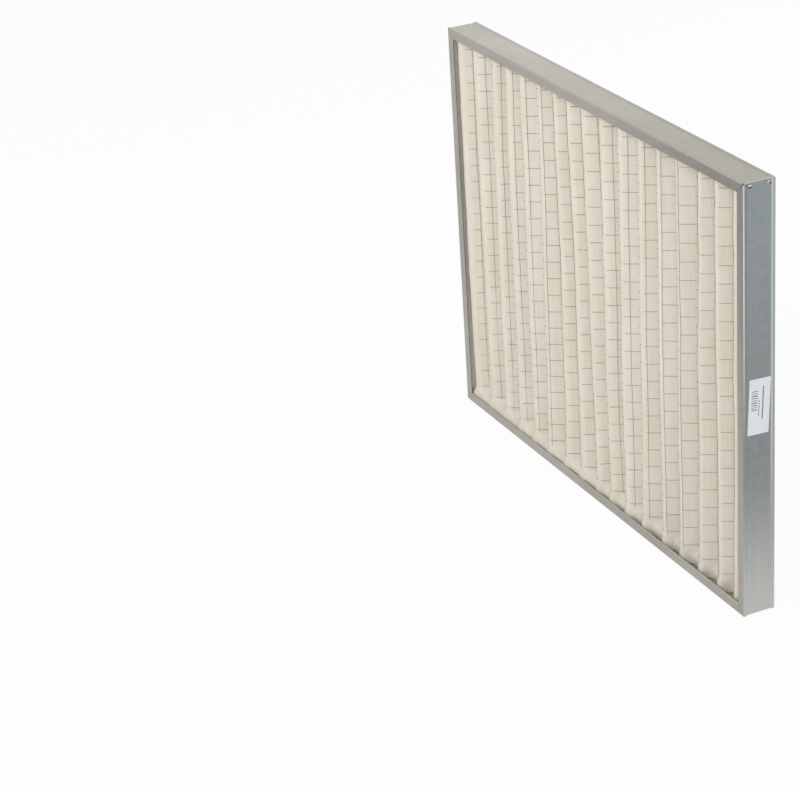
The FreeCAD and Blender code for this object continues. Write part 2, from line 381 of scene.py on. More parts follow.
steelLook = {
    "tones": {
        "Patch Scale": 9.0,
        "Speck Scale": 260.0,
        "Speck Share": 0.35,
        "Tone A": (0.415, 0.398, 0.352),
        "Tone B": (0.365, 0.350, 0.312),
    },
    # Flakes of the zinc
    "spangleScale": 170.0,
    "spangleTone": (0.62, 0.62, 0.62),
    "spangleShare": 0.10,
    # Rolling lines along the strip, and its slow buckles. A bump is a strength and a depth
    "streaks": {"Scale": 420.0, "Sharpness": 0.3},
    "streakStretch": 0.016,
    "streakTone": (0.20, 0.20, 0.20),
    "streakShare": 0.10,
    "streakBump": (0.12, 0.0001),
    "buckleScale": 7.0,
    "buckleBump": (0.25, 0.004),
    # Roughness from the first to the second value, by the shares of the tones and the flakes
    "roughness": (0.36, 0.47),
    "wearShares": (0.6, 0.4),
    # Inside, the strip is dulled by a film of the glue that holds the media. The film's pale tone
    # is partly painted light, standing for light that falls into the channel, and its darker tone
    # low down on the foot is painted shade
    "filmAndPaintedLightTone": (0.95, 0.93, 0.88),
    "footPaintedShadeTone": (0.40, 0.37, 0.32),
    "footPaintedShadeSpan": (0.003, 0.012),
    "filmMetal": 0.05,
    "filmRoughness": 0.75,
    "filmDepth": 0.0213,
    "filmMargin": 0.0014,
    "filmSoft": 0.0001,
    # Painted highlights, reflections and shade on the zinc, where it is given another tone: its
    # reach along each axis as low, high and softness
    "areas": {
        # Painted shade: the front lips darker towards the upper right corner
        "dullLips": {
            "tone": (0.246, 0.238, 0.212),
            "X": (0.18, beyond, 0.18), "Y": frontLip, "Z": (0.35, beyond, 0.25),
        },
        # Painted shade: the top web darker towards the right
        "dullTop": {
            "tone": (0.345, 0.330, 0.290),
            "X": (0.10, beyond, 0.25), "Z": (0.5928, beyond, 0.0004),
        },
        # Painted shade: a darker band on the outer edge of the right upright's front lip, high up
        "lipEdge": {
            "tone": (0.215, 0.200, 0.185),
            "X": (0.3870, 0.3893, 0.0006), "Y": frontLip, "Z": (0.38, beyond, 0.20),
        },
        # Painted reflections on the right web: a dark cool tone, a little paler and bluer high up,
        # and a pale foot that stands for the reflected floor
        "rightSide": {"tone": (0.243, 0.262, 0.268), "X": rightWeb},
        "rightUpper": {"tone": (0.285, 0.318, 0.325), "X": rightWeb, "Z": (0.38, beyond, 0.16)},
        "rightFoot": {"tone": (0.520, 0.525, 0.495), "X": rightWeb, "Z": (-beyond, 0.105, 0.125)},
        # Painted highlight along the front bend of the right web, fading out low down
        "frontBend": {
            "tone": (0.62, 0.63, 0.65),
            "X": (0.3903, beyond, 0.0002), "Y": (-beyond, -0.0213, 0.0004),
            "Z": (0.33, beyond, 0.13),
        },
        # Painted shade on the front ramp of the right web
        "frontRamp": {
            "tone": (0.235, 0.255, 0.270),
            "X": rightWeb, "Y": (-0.0209, -0.0168, 0.0004), "Z": (0.30, beyond, 0.16),
        },
        # Painted highlight on the back ramp of the right web
        "backRamp": {
            "tone": (0.500, 0.535, 0.550),
            "X": rightWeb, "Y": (0.0172, 0.0199, 0.0006), "Z": (0.16, beyond, 0.12),
        },
        # Painted reflection on the back bend of the right web, paler than the web beside it
        "backBend": {
            "tone": (0.400, 0.420, 0.435),
            "X": rightWeb, "Y": (0.0208, beyond, 0.0005), "Z": (0.16, beyond, 0.12),
        },
        # Painted highlight along the cut top end of the right web
        "cutEnd": {
            "tone": (0.55, 0.55, 0.52),
            "X": (0.3885, beyond, 0.0003), "Z": (0.5932, beyond, 0.0003),
        },
        # Painted highlight on the tongues at the closing corner
        "tongues": {
            "tone": (0.66, 0.68, 0.66),
            "X": (0.39035, beyond, 0.0001), "Y": (-0.0168, 0.0168, 0.0002),
            "Z": (0.578, beyond, 0.001),
        },
        # Painted shade under the tongues
        "frontTongueShade": {
            "tone": (0.075, 0.085, 0.085),
            "X": rightWeb, "Y": (-0.0160, -0.0102, 0.0006), "Z": (0.5862, 0.5888, 0.0006),
        },
        "backTongueShade": {
            "tone": (0.075, 0.085, 0.085),
            "X": rightWeb, "Y": (0.0134, 0.0170, 0.0006), "Z": (0.5862, 0.5900, 0.0006),
        },
        # Painted shade: a near-black spot in the notch at the back top corner
        "backCorner": {
            "tone": (0.04, 0.04, 0.04),
            "X": (0.3886, beyond, 0.0004), "Y": (0.0213, beyond, 0.0004),
            "Z": (0.5916, beyond, 0.0003),
        },
    },
}


def fromMidHeight(tree, place):
    return mathNode(tree, "ABSOLUTE", mathNode(tree, "SUBTRACT", place["Z"], halfHeight))


def runsUpright(tree, place):
    # 1 on the two upright sides of the frame and 0 on the others, split at the mitres
    fromSide = mathNode(tree, "SUBTRACT", panelHigh.x, mathNode(tree, "ABSOLUTE", place["X"]))
    fromEnd = mathNode(tree, "SUBTRACT", halfHeight, fromMidHeight(tree, place))
    return mathNode(tree, "LESS_THAN", fromSide, fromEnd)


def areaMask(tree, place, area):
    masks = [between(tree, place[axis], *area[axis]) for axis in "XYZ" if axis in area]
    return joined(tree, "MULTIPLY", masks)


def insideMask(tree, place):
    # The inner faces of the channel, between its two lips
    deep, margin, soft = (steelLook[name] for name in ("filmDepth", "filmMargin", "filmSoft"))
    inside = {
        "X": (panelLow.x + margin, panelHigh.x - margin, soft),
        "Y": (-deep, deep, soft),
        "Z": (panelLow.z + margin, panelHigh.z - margin, soft),
    }
    return areaMask(tree, place, inside)


def zincFlakes(tree, where):
    cells = tree.nodes.new("ShaderNodeTexVoronoi")
    feed(tree, cells.inputs["Vector"], where)
    feed(tree, cells.inputs["Scale"], steelLook["spangleScale"])
    value = tree.nodes.new("ShaderNodeSeparateColor")
    tree.links.new(cells.outputs["Color"], value.inputs[0])
    return value.outputs["Red"]


def makeGalvanised():
    material, tree, surface, where = startMaterial("galvanisedSheet")
    place = splitPlace(tree, where)
    along = steelLook["streakStretch"]
    stretch = mixColor(tree, runsUpright(tree, place), (along, 1.0, 1.0), (1.0, 1.0, along))
    streaks = placeGroup(tree, strands, where, {"Stretch": stretch, **steelLook["streaks"]})
    tone = placeGroup(tree, toneDrift, where, steelLook["tones"])
    flake = zincFlakes(tree, where)
    film = insideMask(tree, place)

    color = tone["Color"]
    for area in steelLook["areas"].values():
        color = mixColor(tree, areaMask(tree, place, area), color, area["tone"])
    color = tintBy(tree, color, flake, steelLook["spangleShare"], steelLook["spangleTone"])
    color = tintBy(tree, color, streaks["Mask"], steelLook["streakShare"], steelLook["streakTone"])
    # Inside the channel: painted shade on the foot, and a pale film above it that is partly
    # painted light
    aboveFoot = spread(tree, place["Z"], *(panelLow.z + edge for edge in steelLook["footPaintedShadeSpan"]))
    filmLightAndShadeColor = mixColor(tree, aboveFoot, steelLook["footPaintedShadeTone"], steelLook["filmAndPaintedLightTone"])
    feed(tree, surface["Base Color"], mixColor(tree, film, color, filmLightAndShadeColor))

    toneWear, flakeWear = steelLook["wearShares"]
    wear = mathNode(tree, "MULTIPLY", flake, flakeWear)
    wear = mathNode(tree, "MULTIPLY_ADD", tone["Mask"], toneWear, wear)
    low, high = steelLook["roughness"]
    bare = mathNode(tree, "MULTIPLY_ADD", wear, high - low, low)
    dull = mathNode(tree, "SUBTRACT", steelLook["filmRoughness"], bare)
    feed(tree, surface["Roughness"], mathNode(tree, "MULTIPLY_ADD", film, dull, bare))
    metal = mathNode(tree, "MULTIPLY_ADD", film, steelLook["filmMetal"] - 1.0, 1.0)
    feed(tree, surface["Metallic"], metal)
    buckle = noiseNode(tree, where, steelLook["buckleScale"], detail=1)
    wavy = bumpNode(tree, buckle, *steelLook["buckleBump"])
    normal = bumpNode(tree, streaks["Height"], *steelLook["streakBump"], wavy)
    feed(tree, surface["Normal"], normal)
    return material


def dressFrame():
    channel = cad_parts["frame_channel"]
    channel.data.materials.clear()
    channel.data.materials.append(makeGalvanised())


dressFrame()
print("Steel strip finished")


# Pleats of fibre media

pleats = {
    # The outer crests' distances from the sides of the frame, and the steps from crest to crest
    "firstCrest": 0.0173,
    "lastCrest": 0.0314,
    "shares": [53, 50, 45, 45, 48, 48, 41, 42, 44, 44, 49, 48, 49, 45, 44, 42],
    "thickness": 0.004,
    "foldRadius": 0.0045,
    "foldSteps": 8,
    "flankSteps": 6,
    "rows": 84,
    "endRows": 11,
    # The flanks bulge, the crests are uneven, and the whole sheet wanders and puffs
    "bulge": 0.0008,
    "crestUnevenness": 0.0007,
    "crestBias": 0.6,
    "wander": 0.0016,
    "rippleShare": 0.35,
    "puff": 0.0004,
    # The noise of each: its scale across and up, its shift across and up, and its seed
    "waves": {
        "wander": (22, 5, 20, 3, 11),
        "ripple": (30, 18, 20, 3, 12),
        "crests": (25, 9, 20, 3, 13),
        "puffs": (160, 55, 70, 7, 14),
    },
    # How far each crest has moved right at its top, middle and foot, in millimetres
    "sway": {
        "top": [1.5, 0.5, 7, 1, -2.5, 2, -6, -9, -6.5, -3.5, 3, 6, 3, 1, 6, 0.5, 0],
        "middle": [
            1, -1, -2, -0.5, 0, -0.5, 2, 2.5, 1,
            -1.5, -0.5, -0.5, -0.5, -0.5, 0.5, 1.5, 1,
        ],
        "foot": [4.5, 3.5, 0, 0.5, 0, -3, 0.5, 5, 9.5, 2.5, 0, -1.5, 2, -3, 0, 5, 2],
    },
    # At both ends fleece and glue close the valleys and run out to the back of the lips. From
    # there the crests and the valleys keep these distances at the left and at the right side
    "lipBack": 0.0020,
    "crestGap": (0.0003, 0.0026),
    "valleyGap": (0.0015, 0.0175),
    "gapDepth": 0.45,
    # Distances from the outer edge of the frame between which the closed ends run out
    "footSpan": (0.012, 0.028),
    "topSpan": (0.011, 0.020),
    "sideSpan": 0.014,
    "tones": {
        "Patch Scale": 16.0,
        "Speck Scale": 420.0,
        "Speck Share": 0.45,
        "Tone A": (0.728, 0.683, 0.611),
        "Tone B": (0.693, 0.639, 0.552),
    },
    # Whole pleats are a little whiter or warmer than their neighbours
    "tints": {
        "whiter": {
            "stretch": (17.0, 1.0, 1.6), "scale": 1.0, "edges": (0.50, 0.72),
            "tone": (0.752, 0.728, 0.683), "share": 0.55,
        },
        "warmer": {
            "stretch": (14.0, 3.0, 2.2), "scale": 1.7, "edges": (0.48, 0.75),
            "tone": (0.713, 0.637, 0.535), "share": 0.35,
        },
    },
    "grooves": {"Stretch": (1.0, 1.0, 0.03), "Scale": 480.0, "Sharpness": 0.6},
    "grooveTone": (0.56, 0.515, 0.44),
    "grooveShare": 0.20,
    "fibres": {"Stretch": (1.0, 1.0, 0.22), "Scale": 900.0, "Sharpness": 0.4},
    "fibreTone": (0.785, 0.757, 0.702),
    "fibreShare": 0.16,
    "fibreBump": (0.45, 0.0003),
    # Glue has soaked into both ends, between these distances from the outer edge. Its darker tone
    # there is partly painted shade near the lips
    "glueAndPaintedShadeTone": (0.600, 0.580, 0.520),
    "glueAndShadeShare": 0.75,
    "glueAndShadeReach": (0.026, 0.012),
    "glueScale": 60.0,
    "glueEdges": (0.35, 0.60),
    # Painted light: the sheet is drawn paler from the left side to the middle: by the first share
    # all over, by the second past the crests, where it is a painted highlight, and by the third
    # less down the flanks
    "paintedLightLifts": (0.030, 0.085, -0.040),
    "paintedLightSide": (0.26, -0.06),
    "paintedLightBand": (-0.0166, -0.0146),
    "paintedLightFlank": (-0.0135, -0.0100),
    # Loose tufts: the scale, detail, roughness and distortion of their noise
    "tufts": (140.0, 4, 0.6, 0.4),
    "tuftBump": (0.35, 0.0006),
    "roughness": (0.88, 0.08),
    "specular": 0.2,
    "sheen": 0.12,
    "sheenRoughness": 0.5,
}

noiseSize = 64
noiseGrids = {}


def noiseGrid(seed):
    if seed not in noiseGrids:
        draw = random.Random(seed)
        values = [draw.uniform(-1, 1) for cell in range(noiseSize * noiseSize)]
        noiseGrids[seed] = np.array(values).reshape(noiseSize, noiseSize)
    return noiseGrids[seed]


def smooth(share):
    return share * share * (3 - 2 * share)


def softNoise(u, v, seed):
    # Smooth random values from -1 to 1 over a plane, the same in each run
    grid = noiseGrid(seed)
    iu, iv = np.floor(u).astype(int), np.floor(v).astype(int)
    fu, fv = smooth(u - iu), smooth(v - iv)
    left, right = iu % noiseSize, (iu + 1) % noiseSize
    low, high = iv % noiseSize, (iv + 1) % noiseSize
    near = grid[left, low] * (1 - fu) + grid[right, low] * fu
    far = grid[left, high] * (1 - fu) + grid[right, high] * fu
    return near * (1 - fv) + far * fv


def sheetNoise(name, x, z):
    acrossScale, upScale, acrossShift, upShift, seed = pleats["waves"][name]
    return softNoise(x * acrossScale + acrossShift, z * upScale + upShift, seed)


def crestPlaces():
    first, last = panelLow.x + pleats["firstCrest"], panelHigh.x - pleats["lastCrest"]
    along = np.concatenate([[0], np.cumsum(pleats["shares"])])
    return first + (last - first) * along / along[-1]


def foldCentres():
    crests = crestPlaces()
    inner = (crests[:-1] + crests[1:]) / 2
    valleys = np.concatenate([[mediaLow.x], inner, [mediaHigh.x]])
    foldY = mediaHigh.y - pleats["thickness"] / 2 - pleats["foldRadius"]
    centres = [(valleys[0], foldY)]
    for crest, valley in zip(crests, valleys[1:]):
        centres += [(crest, -foldY), (valley, foldY)]
    return centres


def flankTilt(first, second):
    # Tilt of the flank between two folds, positive to the right of a crest
    across, deep = second[0] - first[0], second[1] - first[1]
    turn = math.asin(2 * pleats["foldRadius"] / math.hypot(across, deep))
    return math.copysign(math.atan2(abs(deep), across) + turn, deep)


def flankColumns(start, end, steps):
    # Columns between two folds, bulging out a little
    columns = []
    for step in range(1, steps):
        u = step / steps
        out = pleats["bulge"] * 4 * u * (1 - u)
        x = start[0] + (end[0] - start[0]) * u + out * math.sin(end[2])
        y = start[1] + (end[1] - start[1]) * u - out * math.cos(end[2])
        columns.append((x, y, end[2]))
    return columns


def pleatProfile(foldSteps, flankSteps):
    # Columns of the sheet's middle line with the tilt of its front there, and the valley columns
    centres = foldCentres()
    tilts = [0.0] + [flankTilt(a, b) for a, b in zip(centres, centres[1:])] + [0.0]
    columns, valleyColumns = [], []
    for number, (x, y) in enumerate(centres):
        side = 1 if number % 2 else -1
        turn = np.linspace(tilts[number], tilts[number + 1], foldSteps)
        reach = side * pleats["foldRadius"]
        arc = [(x + reach * math.sin(t), y - reach * math.cos(t), t) for t in turn]
        if number:
            columns += flankColumns(columns[-1], arc[0], flankSteps)
        if number % 2 == 0:
            atSide = number in (0, len(centres) - 1)
            valleyColumns.append(len(columns) + (0 if atSide else foldSteps // 2))
        columns += arc
    valleyColumns[-1] = len(columns) - 1
    return np.array(columns), valleyColumns


def swayAt(x, height):
    # A smooth line through the three places, for each crest, and straight from crest to crest
    top, middle, foot = (
        np.interp(x, crestPlaces(), np.array(pleats["sway"][name]) * millimetre)
        for name in ("top", "middle", "foot")
    )
    t = 2 * height - 1
    return middle + (top - foot) / 2 * t + ((top + foot) / 2 - middle) * t * t


def softFall(distance, near, far):
    # 1 up to the near distance, falling softly to 0 at the far one
    return smooth(np.clip((far - distance) / (far - near), 0, 1))


def closeLevels(low, high, rows):
    # Heights from low to high, closer together near both ends
    span = pleats["footSpan"][1] + panelLow.z - mediaLow.z
    foot = np.linspace(low, low + span, pleats["endRows"], endpoint=False)
    middle = np.linspace(low + span, high - span, rows)
    return np.concatenate([foot, middle, low + high - foot[::-1]])


def closedFront(x, depth):
    # Where the front of the closed ends lies: at the lips, and further in towards the valleys
    across = np.clip((x - mediaLow.x) / (mediaHigh.x - mediaLow.x), 0, 1)
    inward = smooth(np.clip(depth / pleats["gapDepth"], 0, 1))
    crestGap = np.interp(across, (0, 1), pleats["crestGap"])
    valleyGap = np.interp(across * across, (0, 1), pleats["valleyGap"])
    return panelLow.y + pleats["lipBack"] + crestGap + valleyGap * inward


def mediaSurface(columns, z, offset, closing=0.0):
    # Points of the sheet at heights z, at an offset towards the front from its middle line
    x, y, tilt = (columns[:, i][None, :] for i in range(3))
    z = np.asarray(z, float)[:, None]
    sway = swayAt(x, (z - panelLow.z) / panelHeight)
    sway = sway + pleats["wander"] * sheetNoise("wander", x, z)
    sway = sway + pleats["rippleShare"] * pleats["wander"] * sheetNoise("ripple", x, z)
    # The two side edges are bonded along the webs and stay straight
    fromSide = np.minimum(x - mediaLow.x, mediaHigh.x - x)
    sway = sway * smooth(np.clip(fromSide / pleats["sideSpan"], 0, 1))
    frontness = np.clip(-y / mediaHigh.y, 0, 1)
    uneven = sheetNoise("crests", x, z) - pleats["crestBias"]
    out = offset + pleats["puff"] * sheetNoise("puffs", x, z)
    px = x + sway + out * np.sin(tilt)
    py = y - pleats["crestUnevenness"] * frontness * uneven - out * np.cos(tilt)
    depth = (y + mediaHigh.y) / (2 * mediaHigh.y)
    atFoot = softFall(z - panelLow.z, *pleats["footSpan"])
    atTop = softFall(panelHigh.z - z, *pleats["topSpan"])
    py = py + closing * (atFoot + atTop) * (closedFront(x, depth) - py)
    return px, py, np.broadcast_to(z, px.shape)


profile, valleyColumns = pleatProfile(pleats["foldSteps"], pleats["flankSteps"])


def gridFaces(rows, columns, start, flip):
    faces = []
    for row in range(rows - 1):
        for column in range(columns - 1):
            a = start + row * columns + column
            face = (a, a + 1, a + columns + 1, a + columns)
            faces.append(face[::-1] if flip else face)
    return faces


def rimFaces(ring, shift):
    # Joins a closed ring of the front sheet to the same ring of the back sheet
    return [(a, a + shift, b + shift, b) for a, b in zip(ring, ring[1:] + ring[:1])]


def makeMediaMesh():
    levels = closeLevels(mediaLow.z, mediaHigh.z, pleats["rows"])
    rows, columns = len(levels), len(profile)
    half = pleats["thickness"] / 2
    points = [
        np.stack(mediaSurface(profile, levels, offset, closing), axis=-1).reshape(-1, 3)
        for offset, closing in ((half, 1.0), (-half, 0.0))
    ]
    count = rows * columns
    faces = gridFaces(rows, columns, 0, False) + gridFaces(rows, columns, count, True)
    ring = list(range(columns))
    ring += [row * columns + columns - 1 for row in range(1, rows)]
    ring += [(rows - 1) * columns + column for column in range(columns - 2, -1, -1)]
    ring += [row * columns for row in range(rows - 2, 0, -1)]
    faces += rimFaces(ring, count)
    mesh = bpy.data.meshes.new("mediaPleats")
    mesh.from_pydata(np.concatenate(points).tolist(), [], faces)
    mesh.polygons.foreach_set("use_smooth", [True] * len(faces))
    mesh.update()
    return mesh


def paintedLightLift(tree, place):
    # Painted light: how much brighter the sheet is drawn than its own colour
    allOver, pastCrest, downFlank = pleats["paintedLightLifts"]
    crest = spread(tree, place["Y"], *pleats["paintedLightBand"])
    flank = spread(tree, place["Y"], *pleats["paintedLightFlank"])
    lift = mathNode(tree, "MULTIPLY_ADD", crest, pastCrest, allOver)
    lift = mathNode(tree, "MULTIPLY_ADD", flank, downFlank, lift)
    side = spread(tree, place["X"], *pleats["paintedLightSide"])
    return mathNode(tree, "MULTIPLY_ADD", side, lift, 1.0)


def makeFibre():
    material, tree, surface, where = startMaterial("fibreMat")
    place = splitPlace(tree, where)
    tone = placeGroup(tree, toneDrift, where, pleats["tones"])
    grooves = placeGroup(tree, strands, where, pleats["grooves"])
    fibres = placeGroup(tree, strands, where, pleats["fibres"])

    color = tone["Color"]
    for tint in pleats["tints"].values():
        stretched = scaleVector(tree, where, tint["stretch"])
        mask = spread(tree, noiseNode(tree, stretched, tint["scale"], detail=1), *tint["edges"])
        color = tintBy(tree, color, mask, tint["share"], tint["tone"])
    color = tintBy(tree, color, grooves["Mask"], pleats["grooveShare"], pleats["grooveTone"])
    color = tintBy(tree, color, fibres["Mask"], pleats["fibreShare"], pleats["fibreTone"])
    # Glue tone at both ends, partly painted shade near the lips
    reach = (halfHeight - edge for edge in pleats["glueAndShadeReach"])
    ends = spread(tree, fromMidHeight(tree, place), *reach)
    soaked = noiseNode(tree, where, pleats["glueScale"], detail=3)
    soaked = spread(tree, soaked, *pleats["glueEdges"])
    glueAndShadeMask = mathNode(tree, "MULTIPLY", ends, soaked)
    color = tintBy(tree, color, glueAndShadeMask, pleats["glueAndShadeShare"], pleats["glueAndPaintedShadeTone"])
    # Painted light: the colour is scaled brighter on the left and past the crests
    brighter = tree.nodes.new("ShaderNodeVectorMath")
    brighter.operation = "SCALE"
    feed(tree, brighter.inputs[0], color)
    feed(tree, brighter.inputs["Scale"], paintedLightLift(tree, place))

    loose = bumpNode(tree, noiseNode(tree, where, *pleats["tufts"]), *pleats["tuftBump"])
    normal = bumpNode(tree, fibres["Height"], *pleats["fibreBump"], loose)
    color = brighter.outputs[0]
    finishSurface(tree, surface, color, tone["Mask"], pleats["roughness"], normal)
    surface["Specular IOR Level"].default_value = pleats["specular"]
    surface["Sheen Weight"].default_value = pleats["sheen"]
    surface["Sheen Roughness"].default_value = pleats["sheenRoughness"]
    return material


def addPiece(name, data, material, slot, *nodes):
    piece = bpy.data.objects.new(name, data)
    bpy.context.scene.collection.objects.link(piece)
    data.materials.append(material)
    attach(piece, "root")
    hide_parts(*nodes)
    return piece


media = addPiece("mediaPleats", makeMediaMesh(), makeFibre(), "media", "pleated_media")
print("Media pleated:", len(media.data.polygons), "faces")


# Welded wire mesh

wires = {
    "radius": 0.00032,
    "bevelSteps": 1,
    "lift": 0.00010,
    # The cross wires are pressed into each crest by this much, from just left of it to these
    # runs to its right, in millimetres at the top and the foot of each pleat
    "crestSink": 0.00095,
    "sinkTop": [
        13.2, 6.9, 8.8, 10.0, 7.2, 7.7, 6.6, 5.9, 5.0,
        4.5, 5.2, 5.2, 5.4, 4.8, 4.1, 5.2, 6.1,
    ],
    "sinkFoot": [
        11.6, 8.2, 7.3, 4.6, 3.8, 3.0, 4.2, 5.9, 5.0,
        4.5, 5.2, 7.0, 5.4, 3.6, 4.1, 5.2, 6.1,
    ],
    "sinkStart": -1.6,
    "sinkSoft": 1.0,
    "sinkJitter": 0.8,
    "foldSteps": 14,
    "flankSteps": 14,
    "sideTrim": 2,
    # How far they have slipped up: in metres over this share of the height, and in millimetres
    # for each pleat, a little to the right of its crest
    "levelRise": 0.0028,
    "riseSpan": 0.25,
    "levelShift": [
        -2.0, -0.6, 0.9, 0.5, 1.2, 2.4, 2.6, 0.4, -1.4,
        -2, -2, -2, -0.7, 0.2, 0, 0.4, -0.3,
    ],
    "shiftRight": 0.008,
    "levelWander": 0.0005,
    # The long wires are pressed in from the first to the second depth, most of all low down and
    # there deeper still on the left, less high up on the right, and at both ends into the glue
    "longSink": (0.0004, 0.0009),
    "pressDrift": 0.8,
    "pressLow": 0.9,
    "leftSink": 0.00035,
    "leftPleats": 8,
    "rightLift": 0.00040,
    "rightFrom": 11,
    "rightSpan": 3,
    "endSink": 0.0022,
    "endSinkSpan": (0.002, 0.018),
    # They stand one cell apart along the sheet, if its front were this long
    "cell": 0.0254,
    "start": 0.011,
    "lineLength": 1.3534,
    # How far the long wires of each pleat have crept along it, in millimetres
    "creep": [-2.6, -1.4, 1, 1, 1.7, 3, 0, 0.5, 0, -2, -3.4, -3.4, -2.2, 0.8, 0.6, 1.6, 1.1],
    "endMargin": 0.0024,
    "weldDepth": 0.00012,
    "placeWander": 0.0011,
    "longRows": 70,
    "longSteps": (3.1, 90),
    # Noise along one wire: its scale, shift, step from wire to wire, and seed
    "waves": {
        "sink": (310, 20, 1.3, 41),
        "level": (30, 20, 1.7, 21),
        "place": (7, 0, 1, 31),
        "press": (16, 0, 1, 32),
    },
    "tones": {
        "Patch Scale": 60.0,
        "Speck Scale": 900.0,
        "Speck Share": 0.5,
        "Tone A": (0.400, 0.370, 0.320),
        "Tone B": (0.240, 0.218, 0.185),
    },
    # Painted light: the wires are paler towards the left and most of all towards the right side
    "wirePaintedLightTone": (0.62, 0.575, 0.50),
    "wirePaintedLightSides": {"left": (-0.10, -0.30, 0.16), "right": (-0.10, 0.20, 0.30)},
    "drawLines": {"Stretch": (1.0, 1.0, 0.3), "Scale": 1500.0, "Sharpness": 0.5},
    "drawBump": (0.2, 0.0001),
    "roughness": (0.38, 0.2),
    "metal": 0.8,
}


def makeWireSteel():
    material, tree, surface, where = startMaterial("dullWire")
    tone = placeGroup(tree, toneDrift, where, wires["tones"])
    lines = placeGroup(tree, strands, where, wires["drawLines"])
    x = splitPlace(tree, where)["X"]
    # Painted light: the wire colour is paler towards both sides
    paintedLightShares = [
        mathNode(tree, "MULTIPLY", spread(tree, x, inner, outer), share)
        for inner, outer, share in wires["wirePaintedLightSides"].values()
    ]
    color = mixColor(tree, joined(tree, "ADD", paintedLightShares), tone["Color"], wires["wirePaintedLightTone"])
    normal = bumpNode(tree, lines["Height"], *wires["drawBump"])
    finishSurface(tree, surface, color, tone["Mask"], wires["roughness"], normal)
    surface["Metallic"].default_value = wires["metal"]
    return material


def wireCurve(name, points):
    curve = bpy.data.curves.new(name, "CURVE")
    curve.dimensions = "3D"
    curve.bevel_depth = wires["radius"]
    curve.bevel_resolution = wires["bevelSteps"]
    curve.use_fill_caps = True
    spline = curve.splines.new("POLY")
    spline.points.add(len(points) - 1)
    spline.points.foreach_set("co", np.c_[points, np.ones(len(points))].ravel())
    return curve


def wireNoise(name, along, number):
    scale, shift, step, seed = wires["waves"][name]
    return softNoise(along * scale + shift, np.full_like(along, number * step), seed)


def runAlong(part):
    # Run along the front of the sheet at each column of a profile
    half = pleats["thickness"] / 2
    fx = part[:, 0] + half * np.sin(part[:, 2])
    fy = part[:, 1] - half * np.cos(part[:, 2])
    return np.concatenate([[0], np.cumsum(np.hypot(np.diff(fx), np.diff(fy)))])


def crestSinks(part, height, number):
    # How far a cross wire is pressed in at each column
    crests = crestPlaces()
    run = runAlong(part)
    past = (run[:, None] - np.interp(crests, part[:, 0], run)[None, :]) / millimetre
    nearest = np.abs(past).argmin(axis=1)
    past = past[np.arange(len(run)), nearest]
    top, foot = np.array(wires["sinkTop"]), np.array(wires["sinkFoot"])
    jitter = wires["sinkJitter"] * wireNoise("sink", crests, number)
    reach = (foot + (top - foot) * height + jitter)[nearest]
    soft = wires["sinkSoft"]
    begun = np.clip((past - wires["sinkStart"]) / soft, 0, 1)
    return wires["crestSink"] * begun * np.clip((reach - past) / soft, 0, 1)


def crossWirePoints(level, number):
    # A cross wire lies on the front of the sheet all the way from side to side
    trim = wires["sideTrim"]
    part = pleatProfile(wires["foldSteps"], wires["flankSteps"])[0][trim:-trim]
    offset = pleats["thickness"] / 2 + wires["lift"] + wires["radius"]
    height = (level - panelLow.z) / panelHeight
    px, py, pz = (line[0] for line in mediaSurface(part, [level], offset, 1.0))
    shifts = np.interp(px - wires["shiftRight"], crestPlaces(), wires["levelShift"]) * millimetre
    rise = wires["levelRise"] * min(1.0, height / wires["riseSpan"])
    pz = pz + rise + shifts + wires["levelWander"] * wireNoise("level", px, number)
    sink = crestSinks(part, height, number)
    tilt = part[:, 2]
    return np.stack([px - sink * np.sin(tilt), py + sink * np.cos(tilt), pz], axis=-1)


def longWirePlaces(pleat):
    # Runs at which the long wires cross one pleat, one cell of the mesh apart
    run = runAlong(profile)
    stretch = run[-1] / wires["lineLength"]
    low, high = run[valleyColumns[pleat]], run[valleyColumns[pleat + 1]]
    cell, start = wires["cell"] * stretch, wires["start"] * stretch
    numbers = np.arange(math.ceil((low - start) / cell), math.floor((high - start) / cell) + 1)
    places = start + numbers * cell + wires["creep"][pleat] * millimetre
    return run, np.clip(places, low + wires["endMargin"], high - wires["endMargin"])


def longSinks(levels, pleat, number):
    # How far a long wire is pressed in at each level
    low = 1 - (levels - panelLow.z) / panelHeight
    drift = wires["pressDrift"] * wireNoise("press", levels, number)
    sink = np.interp(drift + wires["pressLow"] * low, (0, 1), wires["longSink"])
    toLeft = max(0.0, 1 - pleat / wires["leftPleats"])
    toRight = min(1.0, max(0.0, (pleat - wires["rightFrom"]) / wires["rightSpan"]))
    sink = sink + wires["leftSink"] * low * toLeft - wires["rightLift"] * (1 - low) * toRight
    fromEdge = np.minimum(levels - panelLow.z, panelHigh.z - levels)
    return sink + wires["endSink"] * softFall(fromEdge, *wires["endSinkSpan"])


def longWirePoints(pleat, run, place):
    margin = wires["endMargin"]
    levels = closeLevels(mediaLow.z + margin, mediaHigh.z - margin, wires["longRows"])
    pleatStep, placeStep = wires["longSteps"]
    number = pleat * pleatStep + place * placeStep
    wander = wires["placeWander"] * wireNoise("place", levels, number)
    column = np.interp(place + wander, run, np.arange(len(run)))
    clear = wires["lift"] + 3 * wires["radius"] - wires["weldDepth"]
    first = int(column.min())
    part = profile[first:int(column.max()) + 2]
    rows, near = np.arange(len(levels)), column.astype(int) - first
    share = column - first - near
    x, y = (
        line[rows, near] * (1 - share) + line[rows, near + 1] * share
        for line in mediaSurface(part, levels, pleats["thickness"] / 2 + clear)[:2]
    )
    tilt = part[near, 2] * (1 - share) + part[near + 1, 2] * share
    sink = longSinks(levels, pleat, number)
    return np.stack([x - sink * np.sin(tilt), y + sink * np.cos(tilt), levels], axis=-1)


